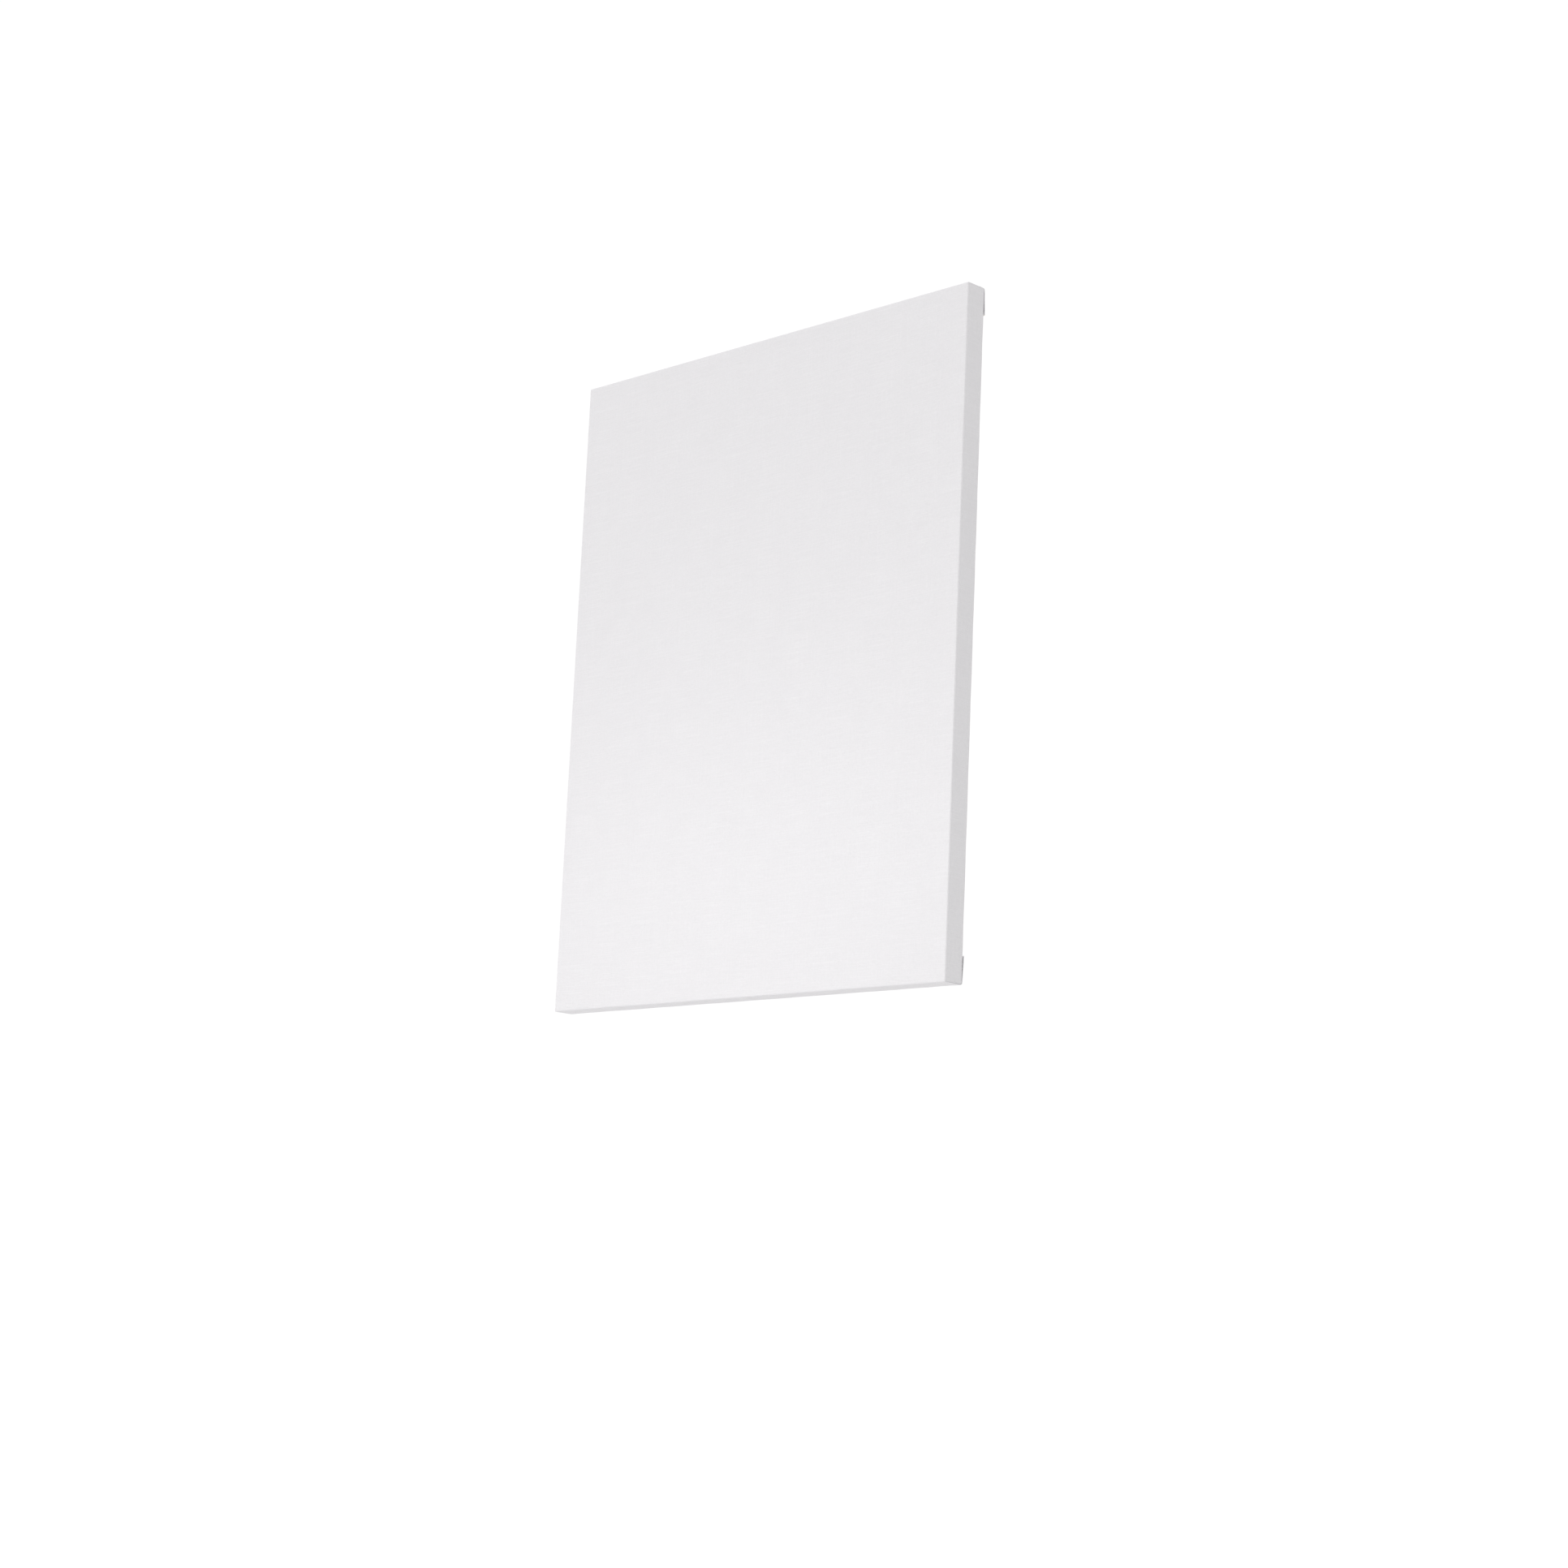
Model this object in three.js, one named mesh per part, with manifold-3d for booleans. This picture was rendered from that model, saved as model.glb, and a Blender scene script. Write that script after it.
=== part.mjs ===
// A stretched canvas: primed cotton duck on a keyed pine stretcher frame, in millimetres.
// +Z is up and the primed face looks along -Y. The origin is at the middle of the bottom edge.
import * as THREE from 'three';
import { mergeVertices } from 'three/addons/utils/BufferGeometryUtils.js';
import Module from 'manifold-3d';

const wasm = await Module();
wasm.setup();

// Over the cloth
const WIDTH = 800;
const HEIGHT = 1000;
const DEPTH = 35;
const CLOTH = 0.6;
const FLAP = 40;

// The folded corners: layers of cloth stacked on the back, and tucked in under the top and bottom edges
const FOLD_STACK = 1.2;
const FOLD_ROOM = 0.5;

// Clearances: between pieces that touch, and for the bars to move out under the keys
const GAP = 0.3;
const SPREAD = 1.2;

// Stretcher bars
const BAR = 45;
const BEAD = 5;
const BEAD_DROP = 3;
const BEVEL_DROP = 6;
const EDGE_ROUND = 2;
const EDGE_CHAMFER = 1;

// Depth layers inside the frame, from back to front, each as [front, back]
const BACK_SLOT = [6, 11];
const BRACE_SLOT = [3, 8];
const FRONT_SLOT = [-5.5, -0.5];

// Keys, driven in along a sloped slot end
const KEY_LENGTH = 36;
const KEY_TIP = 5;
const KEY_TAPER = THREE.MathUtils.degToRad(14);
const KEY_CHAMFER = 1.5;
const CORNER_KEY_INSET = 24;
const BRACE_KEY_INSET = 12;
const KEY_END_ROOM = 1.5;

// Cross braces
const BRACE = 50;
const BRACE_DEPTH = 18;
const BRACE_TONGUE_WIDTH = 10;
const BRACE_TONGUE_LENGTH = 18;

// Staples
const STAPLE_CROWN = 11.4;
const STAPLE_LEG = 6;
const STAPLE_WIRE = 0.6;
const STAPLE_WIRE_WIDTH = 1.2;
const STAPLE_FROM_EDGE = 24;
const STAPLE_FROM_CORNER = 88;
const STAPLES_ACROSS = 7;
const STAPLES_UP = 9;
const CORNER_STAPLE_FROM_EDGE = 14;
const CORNER_STAPLE_FROM_SIDE = 30;

// How far cutting shapes run past the solid they cut
const OVERCUT = 1;

// Worked out from the sizes above
const BAR_INSET = CLOTH + GAP + FOLD_ROOM + SPREAD;
const FRAME_WIDTH = WIDTH - 2 * BAR_INSET;
const FRAME_HEIGHT = HEIGHT - 2 * BAR_INSET;
const BAR_FRONT = -DEPTH / 2 + CLOTH + GAP;
const BAR_BACK = DEPTH / 2 - CLOTH - GAP;
const KEY_BUTT = KEY_TIP + KEY_LENGTH * Math.tan(KEY_TAPER);
const MITRE_GAP = GAP / Math.SQRT2;
const BRACE_MIDDLE = (BRACE_SLOT[0] + BRACE_SLOT[1]) / 2;
const BRACE_FRONT = BRACE_MIDDLE - BRACE_DEPTH / 2;
const BRACE_BACK = BRACE_MIDDLE + BRACE_DEPTH / 2;

const pine = { color: 0xdcbf92, roughness: 0.7, metalness: 0 };
const beech = { color: 0xcfa878, roughness: 0.6, metalness: 0 };
const steel = { color: 0xb9bcc0, roughness: 0.35, metalness: 0.9 };
const primer = { color: 0xf0eff0, roughness: 0.85, metalness: 0 };

const object = new THREE.Group();

// --- Solids ---------------------------------------------------------------------------

function toSolid(geometry) {
  geometry.deleteAttribute('normal');
  geometry.deleteAttribute('uv');
  const merged = mergeVertices(geometry, 1e-5);
  return new wasm.Manifold(new wasm.Mesh({
    numProp: 3,
    vertProperties: new Float32Array(merged.attributes.position.array),
    triVerts: new Uint32Array(merged.index.array),
  }));
}

function toGeometry(solid) {
  const mesh = solid.getMesh();
  const geometry = new THREE.BufferGeometry();
  geometry.setAttribute('position', new THREE.BufferAttribute(new Float32Array(mesh.vertProperties), 3));
  geometry.setIndex(new THREE.BufferAttribute(new Uint32Array(mesh.triVerts), 1));
  geometry.computeVertexNormals();
  return geometry;
}

// A box between two corners
function block([x0, y0, z0], [x1, y1, z1]) {
  const geometry = new THREE.BoxGeometry(x1 - x0, y1 - y0, z1 - z0);
  geometry.translate((x0 + x1) / 2, (y0 + y1) / 2, (z0 + z1) / 2);
  return toSolid(geometry);
}

// An outline of [x, z] points, given thickness from front to back along Y
function slab(outline, [front, back]) {
  const shape = new THREE.Shape(outline.map(([x, z]) => new THREE.Vector2(x, z)));
  const geometry = new THREE.ExtrudeGeometry(shape, { depth: back - front, bevelEnabled: false });
  geometry.rotateX(Math.PI / 2);
  geometry.translate(0, back, 0);
  return toSolid(geometry);
}

// A section drawn in the YZ plane, run along X with its middle at X = 0
function run(shape, size) {
  const geometry = new THREE.ExtrudeGeometry(shape, { depth: size, bevelEnabled: false, curveSegments: 4 });
  geometry.translate(0, 0, -size / 2);
  const yzx = new THREE.Matrix4().makeBasis(
    new THREE.Vector3(0, 1, 0),
    new THREE.Vector3(0, 0, 1),
    new THREE.Vector3(1, 0, 0),
  );
  return toSolid(geometry.applyMatrix4(yzx));
}

function mesh(name, solid, finish, place = [0, 0, 0], turn = 0) {
  const piece = new THREE.Mesh(toGeometry(solid), new THREE.MeshStandardMaterial(finish));
  piece.name = name;
  piece.position.set(...place);
  piece.rotation.y = turn;
  object.add(piece);
}

// --- Keys -----------------------------------------------------------------------------

// The width of a key's slot, square to the edge that the key bears on, at a distance past its tip
function slotWidth(pastTip) {
  return KEY_TIP + pastTip * Math.tan(KEY_TAPER) + GAP / Math.cos(KEY_TAPER);
}

// A wedge with its tip at the origin and one straight edge, its outline given by how far along that
// edge and how far off it each point lies. place turns those two into X and Z.
function key([front, back], place) {
  const slope = KEY_CHAMFER * Math.tan(KEY_TAPER);
  const outline = [
    [0, KEY_CHAMFER],
    [KEY_CHAMFER, 0],
    [KEY_LENGTH - KEY_CHAMFER, 0],
    [KEY_LENGTH, KEY_CHAMFER],
    [KEY_LENGTH, KEY_BUTT - KEY_CHAMFER],
    [KEY_LENGTH - KEY_CHAMFER, KEY_BUTT - slope],
    [KEY_CHAMFER, KEY_TIP + slope],
    [0, KEY_TIP - KEY_CHAMFER],
  ];
  return slab(outline.map(([along, off]) => place(along, off)), [front + GAP, back - GAP]);
}

// --- Stretcher bars -------------------------------------------------------------------

// The bar's section in Y (depth) and Z, with the outer face on Z = 0: a rounded bead along the outer
// front edge holds the cloth off the bevelled face behind it.
function barSection() {
  const shape = new THREE.Shape();
  shape.moveTo(BAR_BACK - EDGE_CHAMFER, 0);
  shape.lineTo(BAR_FRONT + EDGE_ROUND, 0);
  shape.quadraticCurveTo(BAR_FRONT, 0, BAR_FRONT, -EDGE_ROUND);
  shape.lineTo(BAR_FRONT, -BEAD);
  shape.quadraticCurveTo(BAR_FRONT, -BEAD - BEAD_DROP, BAR_FRONT + BEAD_DROP, -BEAD - BEAD_DROP);
  shape.lineTo(BAR_FRONT + BEVEL_DROP, -BAR + EDGE_ROUND);
  shape.lineTo(BAR_FRONT + BEVEL_DROP + EDGE_ROUND, -BAR);
  shape.lineTo(BAR_BACK - EDGE_CHAMFER, -BAR);
  shape.lineTo(BAR_BACK, -BAR + EDGE_CHAMFER);
  shape.lineTo(BAR_BACK, -EDGE_CHAMFER);
  shape.closePath();
  return shape;
}

// The triangle past the 45 degree mitre at one end of a bar
function mitre(end, side, depths) {
  const from = end - BAR - MITRE_GAP;
  const outline = [
    [end - MITRE_GAP + OVERCUT, OVERCUT],
    [end + OVERCUT, OVERCUT],
    [end + OVERCUT, -BAR - OVERCUT],
    [from - OVERCUT, -BAR - OVERCUT],
  ];
  return slab(outline.map(([x, z]) => [side * x, z]), depths);
}

// The slot for the neighbouring bar's tongue, with room past it for a key
function cornerSlot(end, side, depths) {
  const bearing = end - BAR - GAP;
  const deepest = CORNER_KEY_INSET - SPREAD / Math.tan(KEY_TAPER) - KEY_END_ROOM;
  const outline = [
    [end + OVERCUT, OVERCUT],
    [end + OVERCUT, -BAR - OVERCUT],
    [bearing - slotWidth(BAR + OVERCUT - CORNER_KEY_INSET), -BAR - OVERCUT],
    [bearing - slotWidth(deepest - CORNER_KEY_INSET), -deepest],
    [bearing, -deepest],
    [bearing, OVERCUT],
  ];
  return slab(outline.map(([x, z]) => [side * x, z]), depths);
}

// The mortise for a brace's tongue, in the middle of the bar's inner edge
function braceMortise() {
  const half = BRACE_TONGUE_WIDTH / 2 + GAP;
  return block(
    [-half, BRACE_SLOT[0], -BAR - OVERCUT],
    [half, BRACE_SLOT[1], -BAR + BRACE_TONGUE_LENGTH],
  );
}

// Pockets for both legs of a staple
function staplePockets({ x, fromEdge, lift }) {
  const line = BAR_INSET - fromEdge;
  const across = STAPLE_WIRE / 2 + GAP;
  const along = STAPLE_WIRE_WIDTH / 2 + GAP;
  return stapleLegs(x).map((leg) => block(
    [leg - across, DEPTH / 2 + lift - STAPLE_LEG, line - along],
    [leg + across, BAR_BACK + OVERCUT, line + along],
  ));
}

// A bar along X with its outer face on Z = 0. Its tongues fill one layer and its slots another.
function bar(size, tongueLayer, slotLayer, staples) {
  let solid = run(barSection(), size);
  for (const side of [-1, 1]) {
    const end = size / 2;
    solid = solid
      .subtract(mitre(end, side, [BAR_FRONT - OVERCUT, tongueLayer[0] + GAP]))
      .subtract(mitre(end, side, [tongueLayer[1] - GAP, BAR_BACK + OVERCUT]))
      .subtract(cornerSlot(end, side, slotLayer));
  }
  solid = solid.subtract(braceMortise());
  for (const pocket of staples.flatMap(staplePockets)) solid = solid.subtract(pocket);
  return solid;
}

// --- Cross braces ---------------------------------------------------------------------

// The slot on one side of a brace's tongue, in which a key bears on the bar
function braceKeySlot(end, side, edge) {
  const tongue = BRACE_TONGUE_WIDTH / 2;
  const tip = BRACE / 2 - BRACE_KEY_INSET;
  const outline = [
    [end + OVERCUT, tongue],
    [end - slotWidth(tongue - tip), tongue],
    [end - slotWidth(BRACE / 2 + OVERCUT - tip), BRACE / 2 + OVERCUT],
    [end + OVERCUT, BRACE / 2 + OVERCUT],
  ];
  return slab(outline.map(([x, z]) => [side * x, edge * z]), BRACE_SLOT);
}

// A brace along X, halved at the middle so that two of them cross. It keeps its front half there if
// keepsFront is true.
function brace(clear, keepsFront) {
  const end = clear / 2 - GAP;
  let solid = block([-end, BRACE_FRONT, -BRACE / 2], [end, BRACE_BACK, BRACE / 2]);
  const cross = BRACE / 2 + GAP;
  const halving = keepsFront
    ? [BRACE_MIDDLE - GAP / 2, BRACE_BACK + OVERCUT]
    : [BRACE_FRONT - OVERCUT, BRACE_MIDDLE + GAP / 2];
  solid = solid.subtract(block(
    [-cross, halving[0], -BRACE / 2 - OVERCUT],
    [cross, halving[1], BRACE / 2 + OVERCUT],
  ));
  for (const side of [-1, 1]) {
    for (const edge of [-1, 1]) solid = solid.subtract(braceKeySlot(end, side, edge));
    const reach = [side * (end - KEY_TIP), side * (end + BRACE_TONGUE_LENGTH - GAP)].sort((a, b) => a - b);
    solid = solid.add(block(
      [reach[0], BRACE_SLOT[0] + GAP, -BRACE_TONGUE_WIDTH / 2],
      [reach[1], BRACE_SLOT[1] - GAP, BRACE_TONGUE_WIDTH / 2],
    ));
  }
  return solid;
}

// --- Staples --------------------------------------------------------------------------

function stapleLegs(x) {
  const reach = (STAPLE_CROWN - STAPLE_WIRE) / 2;
  return [x - reach, x + reach];
}

// A bar's staples: a row spaced evenly between its corners and, where the corners are folded onto this
// edge, one more through each fold
function stapleRow(outside, count, folded) {
  const first = outside / 2 - STAPLE_FROM_CORNER;
  const row = Array.from({ length: count }, (_, i) => (
    { x: -first + (2 * first * i) / (count - 1), fromEdge: STAPLE_FROM_EDGE, lift: 0 }
  ));
  if (!folded) return row;
  const last = outside / 2 - CORNER_STAPLE_FROM_SIDE;
  const corner = { fromEdge: CORNER_STAPLE_FROM_EDGE, lift: FOLD_STACK };
  return [{ x: -last, ...corner }, ...row, { x: last, ...corner }];
}

// A staple along X, its crown against the flap at Y = 0 and its legs running forward
function staple() {
  const half = STAPLE_CROWN / 2;
  const outside = GAP + STAPLE_WIRE;
  const bend = STAPLE_WIRE / 2;
  const shape = [
    [-half, GAP - STAPLE_LEG],
    [-half + STAPLE_WIRE, GAP - STAPLE_LEG],
    [-half + STAPLE_WIRE, GAP],
    [half - STAPLE_WIRE, GAP],
    [half - STAPLE_WIRE, GAP - STAPLE_LEG],
    [half, GAP - STAPLE_LEG],
    [half, outside - bend],
    [half - bend, outside],
    [-half + bend, outside],
    [-half, outside - bend],
  ].map(([x, y]) => new THREE.Vector2(x, y));
  const geometry = new THREE.ExtrudeGeometry(new THREE.Shape(shape), {
    depth: STAPLE_WIRE_WIDTH,
    bevelEnabled: false,
  });
  geometry.translate(0, 0, -STAPLE_WIRE_WIDTH / 2);
  return toSolid(geometry);
}

// --- Cloth ----------------------------------------------------------------------------

// Slots in the flap for both legs of a staple, long enough for them to move out with their bar
function legSlots(edge, { x, fromEdge }) {
  const across = STAPLE_WIRE / 2 + GAP;
  const along = STAPLE_WIRE_WIDTH / 2 + GAP;
  const line = edge.outer - fromEdge;
  const back = DEPTH / 2;
  return stapleLegs(x).map((leg) => {
    const low = placed(edge, leg - across, back - CLOTH - GAP, line - along);
    const high = placed(edge, leg + across, back + FOLD_STACK + OVERCUT, line + along + SPREAD);
    return block(
      low.map((value, i) => Math.min(value, high[i])),
      low.map((value, i) => Math.max(value, high[i])),
    );
  });
}

// The cloth goes round the outside of the frame and lies on the back of the bars as a flap, with the
// layers of each folded corner stacked on it
function cloth() {
  const half = WIDTH / 2;
  const back = DEPTH / 2;
  const hollow = block(
    [-half + CLOTH, -back + CLOTH, CLOTH],
    [half - CLOTH, back - CLOTH, HEIGHT - CLOTH],
  );
  const opening = block(
    [-half + FLAP, 0, FLAP],
    [half - FLAP, back + OVERCUT, HEIGHT - FLAP],
  );
  let solid = block([-half, -back, 0], [half, back, HEIGHT]).subtract(hollow.add(opening));
  for (const x of [-half, half - FLAP]) {
    for (const z of [0, HEIGHT - FLAP]) {
      solid = solid.add(block([x, back - CLOTH / 2, z], [x + FLAP, back + FOLD_STACK, z + FLAP]));
    }
  }
  for (const edge of edges) {
    for (const slot of edge.staples.flatMap((one) => legSlots(edge, one))) solid = solid.subtract(slot);
  }
  return solid;
}

// --- Assembly -------------------------------------------------------------------------

const acrossBar = {
  size: FRAME_WIDTH,
  outer: HEIGHT / 2,
  tongue: BACK_SLOT,
  slot: FRONT_SLOT,
  staples: stapleRow(WIDTH, STAPLES_ACROSS, true),
};
const upBar = {
  size: FRAME_HEIGHT,
  outer: WIDTH / 2,
  tongue: FRONT_SLOT,
  slot: BACK_SLOT,
  staples: stapleRow(HEIGHT, STAPLES_UP, false),
};
// In an edge's own frame it is on top, with the edge before it at -X and the edge after it at +X
const edges = [
  { name: 'top', before: 'left', after: 'right', turn: 0, ...acrossBar },
  { name: 'right', before: 'top', after: 'bottom', turn: Math.PI / 2, ...upBar },
  { name: 'bottom', before: 'right', after: 'left', turn: Math.PI, ...acrossBar },
  { name: 'left', before: 'bottom', after: 'top', turn: -Math.PI / 2, ...upBar },
];

// A point of an edge's own frame, in which that edge is on top, as a place in the object
function placed(edge, x, y, z) {
  const point = new THREE.Vector3(x, y, z).applyAxisAngle(new THREE.Vector3(0, 1, 0), edge.turn);
  return [point.x, point.y, point.z + HEIGHT / 2];
}

mesh('canvas_cloth', cloth(), primer);

for (const edge of edges) {
  const face = edge.outer - BAR_INSET;
  mesh(`${edge.name}_stretcher_bar`, bar(edge.size, edge.tongue, edge.slot, edge.staples), pine,
    placed(edge, 0, 0, face), edge.turn);

  for (const [side, neighbour] of [[-1, edge.before], [1, edge.after]]) {
    // The key in this bar's slot, which bears on the neighbour's tongue
    const bearing = side * (edge.size / 2 - BAR - GAP);
    const intoBar = (along, off) => [-side * off, -along];
    mesh(`${edge.name}_bar_key_${neighbour}`, key(edge.slot, intoBar), beech,
      placed(edge, bearing, 0, face - CORNER_KEY_INSET), edge.turn);

    // The key between this bar and the end of its brace
    const tip = side * (BRACE / 2 - BRACE_KEY_INSET);
    const alongBar = (along, off) => [side * along, -off];
    mesh(`${edge.name}_brace_key_${neighbour}`, key(BRACE_SLOT, alongBar), beech,
      placed(edge, tip, 0, face - BAR - GAP), edge.turn);
  }

  edge.staples.forEach(({ x, fromEdge, lift }, i) => {
    mesh(`${edge.name}_staple_${i + 1}`, staple(), steel,
      placed(edge, x, DEPTH / 2 + lift, edge.outer - fromEdge), edge.turn);
  });
}

mesh('horizontal_brace', brace(FRAME_WIDTH - 2 * BAR, true), pine, [0, 0, HEIGHT / 2]);
mesh('vertical_brace', brace(FRAME_HEIGHT - 2 * BAR, false), pine, [0, 0, HEIGHT / 2], Math.PI / 2);

export default object;
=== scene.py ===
"""A stretched canvas on its keyed pine frame, dressed for its portrait.

The bars, braces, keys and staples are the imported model's own, with wood and steel materials.
The cloth is one sheet, wrapped round the frame, folded at its corners and stapled on the back.
"""
import math
import random

import bpy
from mathutils import Matrix, Vector, noise


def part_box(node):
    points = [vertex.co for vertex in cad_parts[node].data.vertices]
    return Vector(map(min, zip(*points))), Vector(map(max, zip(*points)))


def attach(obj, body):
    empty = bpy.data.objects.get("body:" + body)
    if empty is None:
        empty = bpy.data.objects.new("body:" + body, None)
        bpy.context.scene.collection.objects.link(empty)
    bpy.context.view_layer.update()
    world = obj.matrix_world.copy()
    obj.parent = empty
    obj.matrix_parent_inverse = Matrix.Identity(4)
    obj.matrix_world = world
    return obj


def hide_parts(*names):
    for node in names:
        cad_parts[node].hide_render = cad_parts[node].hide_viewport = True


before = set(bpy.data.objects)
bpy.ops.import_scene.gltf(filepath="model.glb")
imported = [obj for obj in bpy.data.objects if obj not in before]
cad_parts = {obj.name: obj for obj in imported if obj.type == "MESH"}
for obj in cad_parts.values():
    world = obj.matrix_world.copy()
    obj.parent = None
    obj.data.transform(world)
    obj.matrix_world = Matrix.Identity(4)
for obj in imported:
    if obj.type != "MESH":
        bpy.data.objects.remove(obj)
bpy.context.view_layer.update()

MM = 0.001
EDGES = ("top", "right", "bottom", "left")

# Camera: a little above the floor, to the canvas's right, looking up at it
CAMERA_AT = Vector((3.142, -3.0975, -0.531))
CAMERA_LOOKS_AT = Vector((0.0586, -0.0004, 0.312))
CAMERA_ROLL = math.radians(2.53)
LENS = 70.19
SENSOR = 36.0

# Stage: the canvas hangs at the height of an easel's ledge
FLOOR_LEVEL = -0.69
FLOOR_SIZE = 120.0

# Light: a white room that is brightest towards the front left, and what the camera sees of it
ROOM_LEVEL = 1.012
ROOM_SLOPE = (-0.405, -0.10, 0.0)
BACKDROP_LEVEL = 1.02
FLOOR_LIFT = 0.30
SUN_STRENGTH = 0.15
SUN_ANGLE = math.radians(40)
AREA_LAMPS = (
    # name, watts, place, point it faces, width and height
    ("low_front", 0.60, (0, -0.55, 0.12), (0, 0, 0.12), (1.2, 0.24)),
    ("high_behind", 10.0, (-1.3, 2.1, 1.9), (0, 0, 0.5), (0.8, 0.8)),
)

# The CAD cloth that the sheet stands for: half its front in millimetres, and its front's middle
CLOTH_LOW, CLOTH_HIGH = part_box("canvas_cloth")
HALF_X = (CLOTH_HIGH.x - CLOTH_LOW.x) / 2 / MM
HALF_Z = (CLOTH_HIGH.z - CLOTH_LOW.z) / 2 / MM
FRONT_MIDDLE = Vector(((CLOTH_LOW.x + CLOTH_HIGH.x) / 2, CLOTH_LOW.y, (CLOTH_LOW.z + CLOTH_HIGH.z) / 2))

# The flat sheet, in metres
FLAT_WIDTH = 0.95
FLAT_LENGTH = 1.15

# The wrapped cloth, in millimetres. A point's distance past the front's edge is its path: first
# across the side of the frame, then over the flap on the back.
DEPTH = 35.0
FLAP = 40.0
CLOTH_THICK = 0.42
EDGE_ROUND = 2.0
BACK_STARTS, BACK_REACHED = 33.0, 39.0
FRONT_DIP, FRONT_DIP_VARIES = 0.30, 0.10
BEAD_ENDS, DIP_REACHED = 8.0, 24.0

# How far round a staple the cloth is pressed down, pulled and creased into a fan, in millimetres
CROWN_HALF, WIRE_HALF = 4.0, 0.6
PRESS_BESIDE, PRESS_ABOVE = 9.0, 6.0
PULL_REACH = 17.0
FAN_FOLDS = 7
FAN_ORIGIN = 6.0
FAN_REACH = 26.0
FAN_FROM, FAN_FULL = 4.0, 14.0

# How far the cloth stands off the frame between its staples, and the paths over which each lift
# comes in or goes out, in millimetres
ON_FLAP = (36.0, 46.0)
FLAP_LIFT = 0.25
TO_CUT_EDGE = (42.0, 77.0)
CUT_EDGE_LIFT, CUT_EDGE_VARIES = 0.95, 0.35
FLAP_WAVES, FLAP_FANS = 0.16, 0.20
SIDE_STARTS, SIDE_ENDS = (6.0, 33.0), (35.0, 41.0)
SIDE_PULL, SIDE_WAVES, SIDE_FANS = 0.24, 0.09, 0.08
CREASE_HEIGHT, CREASE_WIDTH = 0.20, 1.9
CREASE_PATH, CREASE_WANDERS = 27.0, 1.6

# How far the cut edge strays from its line in slow waves and in small snags, and where that comes in
# towards the edge and goes out towards the corners, in millimetres
CUT_WAVES, CUT_SNAGS = 1.1, 0.35
NEAR_CUT = (63.0, 75.0)
SIDE_CUT_ENDS, END_CUT_ENDS = (-5.0, 0.0), (40.0, 60.0)

# The folded corner, in millimetres
FOLD_RADIUS = 0.46
FOLD_OPENS_OVER = 8.0
TUCKED_DEPTH = 32.5
UNDER_LAYER = 0.96
UNDER_FLAP = 0.40
THINNEST_SHARE = 0.02
STACK_STEP = 0.55
SIDE_FLAP_STEP = (-2, 5)
TUCK_STEP = (-3, 4)
HELD_DOWN = (-FLAP - 8, -FLAP + 4)
TUCKS_IN_ON_SIDE = (-2.0, 0.0)
TUCKS_IN_ON_BACK = (-7.0, -1.5)

# Where the sheet's grid has its lines near an edge: distances past it and short of it, in millimetres
LINES_PAST = (
    0.23, 0.46, 1.2, 2, 3.2, 5, 7.5, 10.5, 14, 17.5, 21, 23.5, 25.5, 27, 28.5, 30.5, 32.5,
    34, 35, 36, 37, 38.5, 41, 45, 49, 53, 56, 59, 62, 65, 68, 71, 73, 75,
)
LINES_SHORT = (0, 0.23, 0.46, 1.2, 2, 3.2, 6, 11, 17, 22, 28, 33, 36.5, 40, 44, 49, 55, 61, 68, 75)
GRID_STEP = 6.5

# Threads to the metre of primed cloth
THREADS = 1100.0

# Loose thread ends on each of the flap's cut edges, in millimetres
THREAD_ENDS = 34
THREAD_RADIUS = 0.14
THREAD_HELD = 1.6
THREAD_SEGMENTS = 6
THREADS_FROM_FOLD = 12.0

# Colours, each from its darker to its lighter patches where there are two
PRIMER = ((0.846, 0.832, 0.849), (0.872, 0.860, 0.875))
RAW_COTTON = ((0.72, 0.64, 0.49), (0.83, 0.76, 0.62))
LOOSE_COTTON = ((0.66, 0.58, 0.43), (0.84, 0.78, 0.66))
SEED_SPECK = (0.32, 0.22, 0.12)
PINE_EARLY = (0.760, 0.560, 0.330)
PINE_LATE = (0.470, 0.255, 0.105)
PINE_PATCH = (0.690, 0.440, 0.215)
PINE_BY_KNOT = (0.500, 0.270, 0.110)
KNOT_HEART = ((0.235, 0.105, 0.040), (0.370, 0.190, 0.080))
KNOT_RIM = (0.150, 0.062, 0.024)
BEECH = ((0.560, 0.345, 0.190), (0.640, 0.430, 0.255))
BEECH_FLECK = (0.260, 0.130, 0.060)
ZINC = ((0.48, 0.49, 0.50), (0.70, 0.71, 0.72))
FLOOR = ((0.79, 0.79, 0.79), (0.81, 0.81, 0.81))
WHITE = (1.0, 1.0, 1.0, 1.0)

# Each board's knots, in metres: (place along it, place across it, radius)
KNOTS = {
    "top_stretcher_bar": [(0.131, 0.978, 0.0052), (-0.262, 0.962, 0.0026)],
    "right_stretcher_bar": [(0.702, 0.3715, 0.0044)],
    "bottom_stretcher_bar": [(-0.205, 0.021, 0.0041)],
    "left_stretcher_bar": [(0.318, -0.371, 0.0058), (0.836, -0.384, 0.0024)],
    "horizontal_brace": [(0.164, 0.508, 0.0060)],
    "vertical_brace": [(0.777, -0.009, 0.0050), (0.262, 0.012, 0.0030)],
}


# ---------------------------------------------------------------- small helpers

def ramp(value, low, high):
    """0 below low, 1 above high, and a smooth step between."""
    t = min(max((value - low) / (high - low), 0.0), 1.0)
    return t * t * (3 - 2 * t)


def blend(a, b, t):
    return a + (b - a) * t


def fade(distance, reach):
    """1 at no distance, and falling off over the reach."""
    return math.exp(-((distance / reach) ** 2))


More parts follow.
